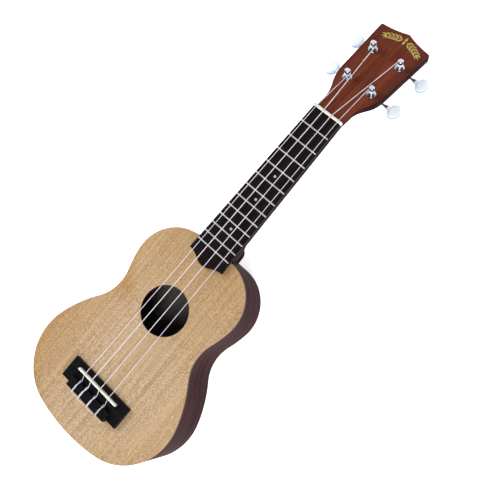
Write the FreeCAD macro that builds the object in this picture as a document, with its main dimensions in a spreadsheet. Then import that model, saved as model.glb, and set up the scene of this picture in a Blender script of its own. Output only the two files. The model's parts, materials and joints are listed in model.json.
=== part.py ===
import FreeCAD, Part
import math
import os
import Sketcher

V = FreeCAD.Vector

# A soprano ukulele lying on its back.
#
# Three frames are used, all in millimetres.
#   Playing frame: x across, to the treble side; y along the strings, from the saddle line (0)
#   to the nut (scale_length); z out of the soundboard, whose outer face is z = 0.
#   Shelf frame, the part's own: the flat back lies on z = 0. The body is shallower at the neck
#   than at the tail, so the playing frame is tipped and lifted into it by one placement.
#   Head frame, for everything on the headstock: x across, y along the headstock's face from the
#   nut, z out of that face.

# ---------------------------------------------------------------- driving dimensions

DIMENSIONS = (
    # scale and body
    ("scale_length", 346), ("tail_level", -63),
    ("tail_depth", 66), ("neck_end_depth", 58.5),
    ("tail_radius", 197), ("tail_sweep", 12),
    ("lower_bout_radius", 61), ("lower_bout_sweep", 95.7),
    ("flank_radius", 139), ("flank_sweep", 18.8),
    ("waist_radius", 44.5), ("waist_sweep", 55.6),
    ("rise_radius", 125), ("rise_sweep", 10.5),
    ("upper_bout_radius", 44.7),
    ("plate_thickness", 2.2), ("side_thickness", 1.8), ("plate_edge_round", 0.5),
    ("lining_width", 4.5), ("lining_height", 7),
    ("soundhole_radius", 26), ("soundhole_level", 94.8),
    ("brace_width", 6), ("brace_height", 8),
    ("block_length", 20), ("tail_block_half", 15), ("neck_block_half", 20.5),
    # neck, fretboard and nut
    ("neck_depth_nut", 14), ("neck_depth_heel", 16), ("neck_side", 2), ("neck_half_nut", 17.2),
    ("heel_cap_thickness", 2.2), ("heel_cap_margin", 0.6),
    ("board_thickness", 5), ("board_edge_round", 0.4), ("board_half_nut", 16.9), ("board_half_joint", 21.3),
    ("board_end_level", 160.4), ("board_lobe_level", 153.7),
    ("fret_count", 12), ("fret_width", 1.5), ("fret_crown", 0.9),
    ("fret_tang", 0.6), ("fret_tang_depth", 1.8),
    ("dot_radius", 1.4), ("dot_depth", 1),
    ("nut_front", 345), ("nut_thickness", 3), ("nut_half", 17.1), ("nut_top", 7.5), ("nut_slot_level", 6.5),
    # bridge and saddle
    ("bridge_half", 39.75), ("bridge_rear", -23.4), ("bridge_front", 0.8), ("bridge_base", 4.5),
    ("bridge_deck", 6), ("bridge_trough", 3.6), ("bridge_edge_round", 0.8),
    ("deck_rear", -8.5), ("deck_front", -0.7),
    ("tie_block_left", -28), ("tie_block_right", 27), ("tie_block_rear", -26), ("tie_block_front", -15),
    ("tie_block_top", 8), ("tie_block_round", 0.6), ("tie_hole_level", 4.6), ("tie_hole_radius", 0.8),
    ("saddle_centre", -4.75), ("saddle_thickness", 2.5), ("saddle_half", 27.25), ("saddle_top", 10.3),
    ("saddle_seat", 3),
    # headstock
    ("head_angle", 14.5), ("head_drop", 1), ("head_thickness", 10),
    ("head_half_start", 17.4), ("head_flare_start", 12), ("head_flare_angle", 28.5),
    ("head_flare_in", 38), ("head_flare_out", 53),
    ("head_half_end", 31), ("head_corner", 117.5), ("head_peak", 124), ("head_scallop", 1.3),
    ("head_corner_round", 2.2), ("head_edge_round", 0.6), ("head_back_round", 1.5),
    # tuners
    ("post_low_x", 15.5), ("post_low_s", 45.8), ("post_high_x", 17.3), ("post_high_s", 87),
    ("post_radius", 3), ("post_waist", 2.3),
    ("post_top", 12), ("post_cap_base", 8.5), ("post_waist_base", 4.2),
    ("post_seat", 2), ("running_gap", 0.05),
    ("ferrule_flange", 4.9), ("ferrule_sleeve", 4),
    ("ferrule_rim", 1), ("ferrule_top", 2.8), ("ferrule_depth", 6),
    ("tuner_plate", 1), ("wheel_teeth", 14), ("wheel_radius", 4.2), ("wheel_tip", 4.75), ("wheel_root", 3.45),
    ("wheel_thickness", 4), ("wheel_gap", 3.4),
    ("worm_radius", 2.5), ("worm_tip", 2.95), ("worm_core", 1.75), ("worm_turns", 4),
    ("ear_inside", 4.5), ("ear_thickness", 1.2), ("ear_half", 2.7),
    ("shaft_radius", 1.25), ("button_reach", 24.9), ("button_length", 17), ("button_width", 13),
    ("button_thickness", 6.2), ("button_round", 2.8), ("button_collar", 2.6),
    ("screw_head", 2), ("screw_shank", 1), ("screw_length", 7),
    # strings
    ("string_g", 0.62), ("string_c", 0.86), ("string_e", 0.74), ("string_a", 0.58),
    ("string_turn_level", 7.75),
)

# y range, lowest z and half width of the sketches that cut right across the body
CUT_LOW, CUT_HIGH = -90, 210
CUT_FLOOR = -90
CUT_HALF = 130
# y of the three bars inside the back, clear of what shows through the soundhole
BACK_BRACE_LEVELS = (-10, 42, 128)
# heel, top to bottom: z, half width on the body, half width and y where the cheeks end, y of the nose
HEEL_SECTIONS = (
    (-13, 19.6, 19, 189, 206),
    (-25, 15, 14.4, 184.5, 197),
    (-38, 11, 10.6, 182, 192),
    (-53, 9.2, 9, 181, 190),
)
# the carving under the headstock's flare: y, how far in it reaches, how much cheek it leaves
FLARE_SECTIONS = ((11, 16, 3), (24, 8.5, 4.2), (35, 2.9, 7.2), (47, 0.6, 10.3))

doc = FreeCAD.newDocument("ukulele")
sheet = doc.addObject("Spreadsheet::Sheet", "Dimensions")
for row, (alias, value) in enumerate(DIMENSIONS, start=1):
    sheet.set("A%d" % row, alias)
    sheet.set("B%d" % row, str(value))
    sheet.setAlias("B%d" % row, alias)
doc.recompute()


def dim(alias):
    """One driving dimension, read back from the sheet."""
    return float(getattr(sheet, alias))


# ---------------------------------------------------------------- frames and derived places

def joint_level():
    """y of the flat where the neck meets the body, the end of the body's outline."""
    return rim_chain(0)[-1]["end"].y


def back_level(y, inside=0):
    """z of the back's outer face at y, or of a plane that far inside it."""
    return -dim("tail_depth") + back_slope() * (y - dim("tail_level")) + inside


def back_slope():
    """Rise of the flat back per millimetre from the tail to the neck end of the body."""
    return (dim("tail_depth") - dim("neck_end_depth")) / (joint_level() - dim("tail_level"))


def shelf_frame():
    """Playing frame to shelf frame: the back's plane, below the saddle line, becomes the origin."""
    tip = FreeCAD.Rotation(V(1, 0, 0), -math.degrees(math.atan(back_slope())))
    return FreeCAD.Placement(V(), tip) * FreeCAD.Placement(V(0, 0, -back_level(0)), FreeCAD.Rotation())


def head_frame():
    """Head frame to playing frame."""
    tip = FreeCAD.Rotation(V(1, 0, 0), -dim("head_angle"))
    return FreeCAD.Placement(V(0, dim("scale_length"), -dim("head_drop")), tip)


def tuner_frame(post_x, post_s):
    """Frame on a post's axis at the headstock's face, to shelf frame."""
    return shelf_frame() * head_frame() * FreeCAD.Placement(V(post_x, post_s, 0), FreeCAD.Rotation())


def rim_chain(inset):
    """The treble half of the body's outline, tail to neck, as tangent arcs moved inwards by inset.

    Each arc turns left (inwards) or, at the waist, right. The last arc brings the outline back
    square to the centre line, where the neck is joined.
    """
    bends = (("tail", 1), ("lower_bout", 1), ("flank", 1), ("waist", -1), ("rise", 1))
    turns = [(dim(name + "_radius"), side * dim(name + "_sweep"), side) for name, side in bends]
    turned = sum(sweep for _, sweep, _ in turns)
    turns.append((dim("upper_bout_radius"), 180 - turned, 1))
    chain = []
    place = V(0, dim("tail_level"), 0)
    heading = 0.0
    for radius, sweep, side in turns:
        normal = V(-math.sin(heading), math.cos(heading), 0) * side
        centre = place + normal * radius
        heading_end = heading + math.radians(sweep)
        place = centre - V(-math.sin(heading_end), math.cos(heading_end), 0) * side * radius
        inner = radius - side * inset
        angles = sorted((heading - side * math.pi / 2, heading_end - side * math.pi / 2))
        end = centre - V(-math.sin(heading_end), math.cos(heading_end), 0) * side * inner
        chain.append({"centre": centre, "radius": inner, "angles": angles, "end": end})
        heading = heading_end
    return chain


def fret_level(number):
    """y of a fret, by the twelfth root of two."""
    return dim("scale_length") * 2 ** (-number / 12)


def board_half(y):
    """Half the fretboard's width at y."""
    taper = (dim("board_half_joint") - dim("board_half_nut")) / (dim("nut_front") - joint_level())
    return dim("board_half_nut") + taper * (dim("nut_front") - y)


# ---------------------------------------------------------------- document helpers

def new_body(name, placement):
    body = doc.addObject("PartDesign::Body", name)
    body.Label = name
    body.Placement = placement
    return body


def new_sketch(body, name, role, shift=None):
    """An empty sketch on one of the body's origin planes, moved within it by a placement."""
    plane = [item for item in body.Origin.OriginFeatures if item.Role == role][0]
    sketch = body.newObject("Sketcher::SketchObject", body.Name + "_" + name)
    sketch.AttachmentSupport = [(plane, "")]
    sketch.MapMode = "FlatFace"
    if shift is not None:
        sketch.AttachmentOffset = shift
    return sketch


def raised(distance):
    """A sketch offset along the sketch plane's own normal."""
    return FreeCAD.Placement(V(0, 0, distance), FreeCAD.Rotation())


def add_polygon(sketch, points):
    """Closed straight-sided outline through (x, y) points."""
    corners = [V(x, y, 0) for x, y in points]
    for start, end in zip(corners, corners[1:] + corners[:1]):
        sketch.addGeometry(Part.LineSegment(start, end))


def add_rectangle(sketch, low, high):
    add_polygon(sketch, ((low[0], low[1]), (high[0], low[1]), (high[0], high[1]), (low[0], high[1])))


def add_circle(sketch, x, y, radius_cell):
    """Circle whose radius is bound to a cell, or to an expression of cells."""
    index = sketch.addGeometry(Part.Circle(V(x, y, 0), V(0, 0, 1), 1))
    constraint = sketch.addConstraint(Sketcher.Constraint("Radius", index, 1.0))
    sketch.setExpression("Constraints[%d]" % constraint, radius_cell)


def add_half_rim(sketch, inset, side):
    """One side's arcs of the body outline; returns their neck end."""
    chain = rim_chain(inset)
    for arc in chain:
        centre = V(side * arc["centre"].x, arc["centre"].y, 0)
        first, last = arc["angles"]
        if side < 0:
            first, last = math.pi - last, math.pi - first
        circle = Part.Circle(centre, V(0, 0, 1), arc["radius"])
        sketch.addGeometry(Part.ArcOfCircle(circle, first, last))
    return V(side * chain[-1]["end"].x, chain[-1]["end"].y, 0)


def add_rim(sketch, inset):
    """The whole body outline, closed by the flat at the neck."""
    treble = add_half_rim(sketch, inset, 1)
    bass = add_half_rim(sketch, inset, -1)
    sketch.addGeometry(Part.LineSegment(treble, bass))


def add_pad(body, sketch, length, symmetric=False, reverse=False):
    """Pad by an expression of cells."""
    feature = body.newObject("PartDesign::Pad", sketch.Name + "_pad")
    feature.Profile = sketch
    feature.SideType = "Symmetric" if symmetric else "One side"
    feature.Reversed = reverse
    feature.setExpression("Length", length)
    sketch.Visibility = False
    return feature


def add_pocket(body, sketch, length=None, symmetric=False, reverse=False):
    """Pocket by an expression of cells, or through everything."""
    before = volume_of(body)
    feature = body.newObject("PartDesign::Pocket", sketch.Name + "_pocket")
    feature.Profile = sketch
    feature.SideType = "Symmetric" if symmetric else "One side"
    feature.Reversed = reverse
    if length is None:
        feature.Type = "ThroughAll"
    else:
        feature.setExpression("Length", length)
    doc.recompute()
    if not body.Shape.Volume < before - 1e-4:
        raise ValueError("%s cuts nothing" % feature.Name)
    return feature


def volume_of(body):
    doc.recompute()
    return body.Shape.Volume


def add_turned(body, points, axis="V_Axis", role="XZ_Plane", name="profile"):
    """Revolution of a closed outline about a sketch axis."""
    sketch = new_sketch(body, name, role)
    add_polygon(sketch, points)
    feature = body.newObject("PartDesign::Revolution", sketch.Name + "_turned")
    feature.Profile = sketch
    feature.ReferenceAxis = (sketch, [axis])
    feature.Angle = 360
    return feature


def add_round(body, base, edges, radius):
    """Fillet on named edges of the feature made last, by an expression of cells."""
    feature = body.newObject("PartDesign::Fillet", body.Name + "_round")
    feature.Base = (base, edges)
    feature.setExpression("Radius", radius)
    return feature


def edges_where(shape, test):
    """Names of a shape's edges whose bounding box passes a test."""
    return [name for name, edge in named_edges(shape) if test(edge.BoundBox)]


def named_edges(shape):
    return [("Edge%d" % number, edge) for number, edge in enumerate(shape.Edges, start=1)]


def cut_below_back(body, inside):
    """Take away everything below the back's plane, or below a plane that far inside it."""
    sketch = new_sketch(body, "below_back", "YZ_Plane")
    add_polygon(sketch, ((CUT_LOW, back_level(CUT_LOW, inside)), (CUT_HIGH, back_level(CUT_HIGH, inside)),
                         (CUT_HIGH, CUT_FLOOR), (CUT_LOW, CUT_FLOOR)))
    add_pocket(body, sketch, symmetric=True)


def cut_outside_rim(body, inset):
    """Keep only what is inside the body's outline moved inwards by inset."""
    sketch = new_sketch(body, "outside", "XY_Plane")
    add_rectangle(sketch, (-CUT_HALF, CUT_LOW), (CUT_HALF, CUT_HIGH))
    add_rim(sketch, inset)
    add_pocket(body, sketch, symmetric=True)


# ---------------------------------------------------------------- the body

def make_top_plate():
    body = new_body("top_plate", shelf_frame())
    sketch = new_sketch(body, "outline", "XY_Plane")
    add_rim(sketch, 0)
    add_circle(sketch, 0, dim("soundhole_level"), "Dimensions.soundhole_radius")
    base = add_pad(body, sketch, "Dimensions.plate_thickness", reverse=True)
    doc.recompute()
    add_round(body, base, edges_where(base.Shape, is_top_rim), "Dimensions.plate_edge_round")


def is_top_rim(box):
    """True for the outer edges of the top's face, but not for the soundhole's or the flat at the neck."""
    soundhole = abs(box.XLength - 2 * dim("soundhole_radius")) < 1e-3
    neck_flat = box.YMin > joint_level() - 1e-3
    return box.ZMin > -1e-6 and not soundhole and not neck_flat


def make_back_plate():
    body = new_body("back_plate", shelf_frame())
    sketch = new_sketch(body, "slab", "YZ_Plane")
    thickness = dim("plate_thickness")
    add_polygon(sketch, ((CUT_LOW, back_level(CUT_LOW)), (CUT_HIGH, back_level(CUT_HIGH)),
                         (CUT_HIGH, back_level(CUT_HIGH, thickness)),
                         (CUT_LOW, back_level(CUT_LOW, thickness))))
    add_pad(body, sketch, "4 * Dimensions.lower_bout_radius", symmetric=True)
    cut_outside_rim(body, 0)


def make_rim_band(name, side, outer, inner, top, depth):
    """One half of a band that follows the outline: a bent side or a lining strip."""
    body = new_body(name, shelf_frame())
    sketch = new_sketch(body, "band", "XY_Plane", raised(top))
    outer_end = add_half_rim(sketch, outer, side)
    inner_end = add_half_rim(sketch, inner, side)
    tail = dim("tail_level")
    sketch.addGeometry(Part.LineSegment(V(0, tail + outer, 0), V(0, tail + inner, 0)))
    sketch.addGeometry(Part.LineSegment(outer_end, V(0, outer_end.y, 0)))
    sketch.addGeometry(Part.LineSegment(V(0, outer_end.y, 0), V(0, inner_end.y, 0)))
    sketch.addGeometry(Part.LineSegment(V(0, inner_end.y, 0), inner_end))
    add_pad(body, sketch, depth, reverse=True)
    return body


def make_sides():
    """The two bent sides, between the top and the back."""
    plate = dim("plate_thickness")
    for name, side in (("side_bass", -1), ("side_treble", 1)):
        body = make_rim_band(name, side, 0, dim("side_thickness"), -plate, "Dimensions.tail_depth")
        cut_below_back(body, plate)


def make_linings():
    """Strips that back the glue joints between the sides and the two plates, stopping at the blocks."""
    outer = dim("side_thickness")
    inner = outer + dim("lining_width")
    plate = dim("plate_thickness")
    for hand, side in (("bass", -1), ("treble", 1)):
        upper = make_rim_band("top_lining_" + hand, side, outer, inner, -plate, "Dimensions.lining_height")
        cut_for_blocks(upper)
        lower = make_rim_band("back_lining_" + hand, side, outer, inner, -plate, "Dimensions.tail_depth")
        cut_below_back(lower, plate)
        cut_for_blocks(lower)
        sketch = new_sketch(lower, "above", "YZ_Plane")
        crest = plate + dim("lining_height")
        add_polygon(sketch, ((CUT_LOW, back_level(CUT_LOW, crest)), (CUT_HIGH, back_level(CUT_HIGH, crest)),
                             (CUT_HIGH, plate), (CUT_LOW, plate)))
        add_pocket(lower, sketch, symmetric=True)


def cut_for_blocks(body):
    """Stop a lining at the blocks' cheeks."""
    sketch = new_sketch(body, "blocks", "XY_Plane")
    tail, neck = dim("tail_block_half"), dim("neck_block_half")
    add_rectangle(sketch, (-tail, CUT_LOW), (tail, 0))
    add_rectangle(sketch, (-neck, dim("soundhole_level")), (neck, CUT_HIGH))
    add_pocket(body, sketch, symmetric=True)


def make_blocks():
    """The two blocks of wood inside the body: behind the neck joint, and at the tail."""
    inside = dim("side_thickness")
    plate = dim("plate_thickness")
    neck = new_body("neck_block", shelf_frame())
    sketch = new_sketch(neck, "plan", "XY_Plane", raised(-plate))
    front = joint_level() - inside
    half = dim("neck_block_half")
    add_rectangle(sketch, (-half, front - dim("block_length")), (half, front))
    add_pad(neck, sketch, "Dimensions.tail_depth", reverse=True)
    cut_below_back(neck, plate)

    tail = new_body("tail_block", shelf_frame())
    sketch = new_sketch(tail, "plan", "XY_Plane", raised(-plate))
    radius = dim("tail_radius") - inside
    centre = V(0, dim("tail_level") + dim("tail_radius"), 0)
    half = dim("tail_block_half")
    drop = math.sqrt(radius ** 2 - half ** 2)
    front = dim("tail_level") + inside + dim("block_length")
    rear = centre.y - drop
    corners = [V(half, rear, 0), V(half, front, 0), V(-half, front, 0), V(-half, rear, 0)]
    for start, end in zip(corners, corners[1:]):
        sketch.addGeometry(Part.LineSegment(start, end))
    sketch.addGeometry(Part.Arc(corners[3], V(0, centre.y - radius, 0), corners[0]))
    add_pad(tail, sketch, "Dimensions.tail_depth", reverse=True)
    cut_below_back(tail, plate)


def make_braces():
    """Transverse bars across both plates, between the linings."""
    inset = dim("side_thickness") + dim("lining_width")
    plate = dim("plate_thickness")
    half = dim("brace_width") / 2
    tall = dim("brace_height")
    top = new_body("top_braces", shelf_frame())
    sketch = new_sketch(top, "ends", "YZ_Plane")
    reach = dim("soundhole_radius") + 2 * dim("brace_width")
    for level in (dim("soundhole_level") - reach, dim("soundhole_level") + reach):
        add_rectangle(sketch, (level - half, -plate - tall), (level + half, -plate))
    add_pad(top, sketch, "4 * Dimensions.lower_bout_radius", symmetric=True)
    cut_outside_rim(top, inset)

    back = new_body("back_braces", shelf_frame())
    sketch = new_sketch(back, "ends", "YZ_Plane")
    for level in BACK_BRACE_LEVELS:
        low, high = level - half, level + half
        add_polygon(sketch, ((low, back_level(low, plate)), (high, back_level(high, plate)),
                             (high, back_level(high, plate + tall)), (low, back_level(low, plate + tall))))
    add_pad(back, sketch, "4 * Dimensions.lower_bout_radius", symmetric=True)
    cut_outside_rim(back, inset)


def make_bridge_plate():
    """Hardwood patch glued inside the top, under the bridge."""
    body = new_body("bridge_plate", shelf_frame())
    sketch = new_sketch(body, "plan", "XY_Plane", raised(-dim("plate_thickness")))
    margin = 4
    half = dim("bridge_half") - margin
    add_rectangle(sketch, (-half, dim("bridge_rear") - margin), (half, dim("bridge_front") + margin))
    add_pad(body, sketch, "Dimensions.plate_thickness", reverse=True)


# ---------------------------------------------------------------- neck and headstock

def add_neck_section(sketch, half, side, depth):
    """D-shaped section: flat top, short straight cheeks and an elliptical back."""
    left, right = V(-half, 0, 0), V(half, 0, 0)
    low_left, low_right = V(-half, -side, 0), V(half, -side, 0)
    sketch.addGeometry(Part.LineSegment(left, right))
    sketch.addGeometry(Part.LineSegment(right, low_right))
    ellipse = Part.Ellipse(V(0, -side, 0), half, depth - side)
    sketch.addGeometry(Part.ArcOfEllipse(ellipse, math.pi, 2 * math.pi))
    sketch.addGeometry(Part.LineSegment(low_left, left))


def add_loft(body, sketches):
    feature = body.newObject("PartDesign::AdditiveLoft", sketches[0].Name + "_loft")
    feature.Profile = sketches[0]
    feature.Sections = sketches[1:]
    feature.Ruled = len(sketches) == 2
    return feature


def cross_plane(y, drop=0, tip=0):
    """Offset that carries the XZ plane to y, lowered by drop and tipped back by tip degrees."""
    return FreeCAD.Placement(V(0, -drop, -y), FreeCAD.Rotation(V(1, 0, 0), -tip))


def add_head_half(sketch, side):
    """Half of the headstock's outline: throat, flare, straight cheek, top corner and scalloped crest."""
    angle = math.radians(dim("head_flare_angle"))
    inner, outer = dim("head_flare_in"), dim("head_flare_out")
    start = V(dim("head_half_start"), dim("head_flare_start"), 0)
    corner = V(dim("head_half_end"), dim("head_corner"), 0)
    peak = V(0, dim("head_peak"), 0)

    def on_flare(turned):
        return start + V(inner * (1 - math.cos(turned)), inner * math.sin(turned), 0)

    turn = on_flare(angle)
    centre = turn + V(-math.cos(angle), math.sin(angle), 0) * outer
    reach = corner - centre
    end_angle = math.atan2(reach.x, reach.y) - math.asin(outer / reach.Length)

    def on_shoulder(turned):
        return centre + V(math.cos(turned), -math.sin(turned), 0) * outer

    cheek = on_shoulder(end_angle)
    chord = peak - corner
    scallop = (peak + corner) * 0.5 - V(-chord.y, chord.x, 0).normalize() * -dim("head_scallop")
    flare = on_flare(angle / 2)
    shoulder = on_shoulder((angle + end_angle) / 2)
    places = (start, flare, turn, shoulder, cheek, corner, scallop, peak)
    start, flare, turn, shoulder, cheek, corner, scallop, peak = [V(side * at.x, at.y, 0) for at in places]
    sketch.addGeometry(Part.LineSegment(V(0, start.y, 0), start))
    sketch.addGeometry(Part.Arc(start, flare, turn))
    sketch.addGeometry(Part.Arc(turn, shoulder, cheek))
    sketch.addGeometry(Part.LineSegment(cheek, corner))
    sketch.addGeometry(Part.Arc(corner, scallop, peak))


def add_heel_section(sketch, half, half_far, straight, tip):
    """Level section of the heel: flat on the body, cheeks, and a round nose towards the nut."""
    joint = joint_level()
    corners = [V(-half_far, straight, 0), V(-half, joint, 0), V(half, joint, 0), V(half_far, straight, 0)]
    for start, end in zip(corners, corners[1:]):
        sketch.addGeometry(Part.LineSegment(start, end))
    sketch.addGeometry(Part.Arc(corners[3], V(0, tip, 0), corners[0]))


def make_neck():
    """One piece of wood: shaft, heel and headstock."""
    body = new_body("neck", shelf_frame())
    joint = joint_level()
    nut_back = dim("nut_front") + dim("nut_thickness")
    side = dim("neck_side")
    angle = math.radians(dim("head_angle"))
    face_drop = dim("head_drop") + (nut_back - dim("scale_length")) * math.tan(angle)

    outline = new_sketch(body, "head", "XY_Plane", head_frame())
    add_head_half(outline, 1)
    add_head_half(outline, -1)
    slab = add_pad(body, outline, "Dimensions.head_thickness", reverse=True)
    doc.recompute()
    crest = [name for name, edge in named_edges(slab.Shape) if is_crest_corner(edge)]
    rounded = add_round(body, slab, crest, "Dimensions.head_corner_round")
    rims = ((0, "Dimensions.head_edge_round"), (-dim("head_thickness"), "Dimensions.head_back_round"))
    for level, radius in rims:
        doc.recompute()
        rim = [name for name, edge in named_edges(rounded.Shape) if is_head_rim(edge, level)]
        rounded = add_round(body, rounded, rim, radius)
    carve_flare(body)

    wide = new_sketch(body, "shaft_wide", "XZ_Plane", cross_plane(joint))
    add_neck_section(wide, board_half(joint), side, dim("neck_depth_heel"))
    narrow = new_sketch(body, "shaft_narrow", "XZ_Plane", cross_plane(nut_back))
    add_neck_section(narrow, dim("neck_half_nut"), side, dim("neck_depth_nut"))
    add_loft(body, [wide, narrow])

    # throat: the round back runs down to the headstock's flare
    start = dim("head_flare_start")
    throat = new_sketch(body, "throat", "XZ_Plane", cross_plane(nut_back, face_drop))
    add_neck_section(throat, dim("neck_half_nut"), side, dim("neck_depth_nut") - face_drop)
    flare = new_sketch(body, "flare", "XZ_Plane", cross_place(start))
    add_neck_section(flare, dim("head_half_start"), FLARE_SECTIONS[0][2], dim("head_thickness"))
    add_loft(body, [throat, flare])

    # heel: level sections from under the fretboard down to the cap
    heel = []
    first = (-1, board_half(joint), board_half(195), 195, 214)
    for number, (level, half, half_far, straight, tip) in enumerate((first,) + HEEL_SECTIONS):
        section = new_sketch(body, "heel_%d" % number, "XY_Plane", raised(level))
        add_heel_section(section, half, half_far, straight, tip)
        heel.append(section)
    add_loft(body, heel)
    doc.recompute()

    for name, radius, length in (("sleeves", "Dimensions.ferrule_sleeve", "Dimensions.ferrule_depth"),
                                 ("posts", "Dimensions.post_radius + 0.4", None)):
        holes = new_sketch(body, name, "XY_Plane", head_frame())
        for x, s in post_places():
            add_circle(holes, x, s, radius)
        add_pocket(body, holes, length)
    pilots = new_sketch(body, "pilots", "XY_Plane", head_frame() * raised(-dim("head_thickness")))
    for x, s in post_places():
        for offset in SCREW_OFFSETS:
            add_circle(pilots, x, s + offset, "Dimensions.screw_shank")
    add_pocket(body, pilots, "Dimensions.screw_length", reverse=True)


def head_ends(edge):
    """An edge's first and last points in the head frame."""
    return [head_frame().inverse() * vertex.Point for vertex in (edge.Vertexes[0], edge.Vertexes[-1])]


def is_head_rim(edge, level):
    """True for the edges round the headstock's face or back at a level, except those at the throat."""
    first, last = head_ends(edge)
    flat = abs(first.z - level) < 1e-3 and abs(last.z - level) < 1e-3
    return flat and max(first.y, last.y) > dim("head_flare_start") + 0.01


def flare_half(s):
    """Half the headstock's width at s, from the throat through the flare and the shoulder."""
    angle = math.radians(dim("head_flare_angle"))
    inner, outer = dim("head_flare_in"), dim("head_flare_out")
    along = max(s - dim("head_flare_start"), 0)
    turn = inner * math.sin(angle)
    if along < turn:
        return dim("head_half_start") + inner - math.sqrt(inner ** 2 - along ** 2)
    centre = dim("head_half_start") + inner * (1 - math.cos(angle)) - outer * math.cos(angle)
    left = turn + outer * math.sin(angle) - along
    return centre + math.sqrt(outer ** 2 - left ** 2)


def carve_flare(body):
    """Round off the wood under the flare, so that the neck's round back runs out into the flat one."""
    below = -dim("head_thickness") - 2
    outside = 3
    for side, hand in ((-1, "bass"), (1, "treble")):
        cutters = []
        for number, (s, width, cheek) in enumerate(FLARE_SECTIONS):
            section = new_sketch(body, "carve_%s_%d" % (hand, number), "XZ_Plane", cross_place(s))
            half = flare_half(s)
            inner = side * (half - width)
            low = -max(dim("head_thickness"), cheek + 0.5) - 0.02
            corners = [V(inner, low, 0), V(inner, below, 0), V(side * (half + outside), below, 0),
                       V(side * (half + outside), -cheek, 0), V(side * half, -cheek, 0)]
            for start, end in zip(corners, corners[1:]):
                section.addGeometry(Part.LineSegment(start, end))
            ellipse = Part.Ellipse(V(inner, -cheek, 0), width, -low - cheek)
            first = 1.5 * math.pi if side > 0 else math.pi
            section.addGeometry(Part.ArcOfEllipse(ellipse, first, first + math.pi / 2))
            cutters.append(section)
        feature = body.newObject("PartDesign::SubtractiveLoft", body.Name + "_carve_" + hand)
        feature.Profile = cutters[0]
        feature.Sections = cutters[1:]


def cross_place(s):
    """Offset that carries the XZ plane across the headstock at s of the head frame."""
    angle = math.radians(dim("head_angle"))
    along = dim("scale_length") + s * math.cos(angle)
    return cross_plane(along, dim("head_drop") + s * math.sin(angle), dim("head_angle"))


def is_crest_corner(edge):
    """True for the three edges through the headstock's thickness at its top corners and its peak."""
    first, last = head_ends(edge)
    return abs(first.z - last.z) > 1 and min(first.y, last.y) > dim("head_corner") - 1


def make_heel_cap():
    """Thin cap on the heel's foot, standing a little proud of it."""
    body = new_body("heel_cap", shelf_frame())
    level, half, half_far, straight, tip = HEEL_SECTIONS[-1]
    sketch = new_sketch(body, "plan", "XY_Plane", raised(level))
    margin = dim("heel_cap_margin")
    add_heel_section(sketch, half + margin, half_far + margin, straight, tip + margin)
    add_pad(body, sketch, "Dimensions.heel_cap_thickness", reverse=True)


# ---------------------------------------------------------------- fretboard, frets, nut

def make_fretboard():
    """Tapered board with a bracket-shaped end over the soundboard, fret slots and dot seats."""
    body = new_body("fretboard", shelf_frame())
    sketch = new_sketch(body, "plan", "XY_Plane")
    end, lobe = dim("board_end_level"), dim("board_lobe_level")
    for side in (-1, 1):
        nut = V(side * board_half(dim("nut_front")), dim("nut_front"), 0)
        corner = V(side * board_half(end), end, 0)
        hollow = V(side * 15.2, end - 1.1, 0)
        shoulder = V(side * 9, lobe + 2.9, 0)
        lobe_end = V(side * 5, lobe + 1.05, 0)
        sketch.addGeometry(Part.LineSegment(nut, corner))
        sketch.addGeometry(Part.Arc(corner, hollow, shoulder))
        sketch.addGeometry(Part.LineSegment(shoulder, lobe_end))
    sketch.addGeometry(Part.Arc(V(-5, lobe + 1.05, 0), V(0, lobe, 0), V(5, lobe + 1.05, 0)))
    half = board_half(dim("nut_front"))
    sketch.addGeometry(Part.LineSegment(V(-half, dim("nut_front"), 0), V(half, dim("nut_front"), 0)))
    board = add_pad(body, sketch, "Dimensions.board_thickness")
    doc.recompute()
    upper = edges_where(board.Shape, lambda box: box.ZMin > dim("board_thickness") - 1e-6
                        and box.YMin < dim("nut_front") - 1e-3)
    add_round(body, board, upper, "Dimensions.board_edge_round")

    slots = new_sketch(body, "slots", "XY_Plane", raised(dim("board_thickness")))
    thin = dim("fret_tang") / 2
    for number in range(1, int(dim("fret_count")) + 1):
        level = fret_level(number)
        reach = board_half(level) + 1
        add_rectangle(slots, (-reach, level - thin), (reach, level + thin))
    add_pocket(body, slots, "Dimensions.fret_tang_depth")
    dots = new_sketch(body, "dots", "XY_Plane", raised(dim("board_thickness")))
    for level in dot_levels():
        add_circle(dots, 0, level, "Dimensions.dot_radius")
    add_pocket(body, dots, "Dimensions.dot_depth")


def dot_levels():
    """Half way between the frets either side of the fifth, seventh and tenth places."""
    return [(fret_level(place - 1) + fret_level(place)) / 2 for place in (5, 7, 10)]


def make_dots():
    """Inlaid discs, flush with the fretboard's face."""
    body = new_body("position_dots", shelf_frame())
    sketch = new_sketch(body, "plan", "XY_Plane", raised(dim("board_thickness")))
    for level in dot_levels():
        add_circle(sketch, 0, level, "Dimensions.dot_radius")
    add_pad(body, sketch, "Dimensions.dot_depth", reverse=True)


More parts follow.
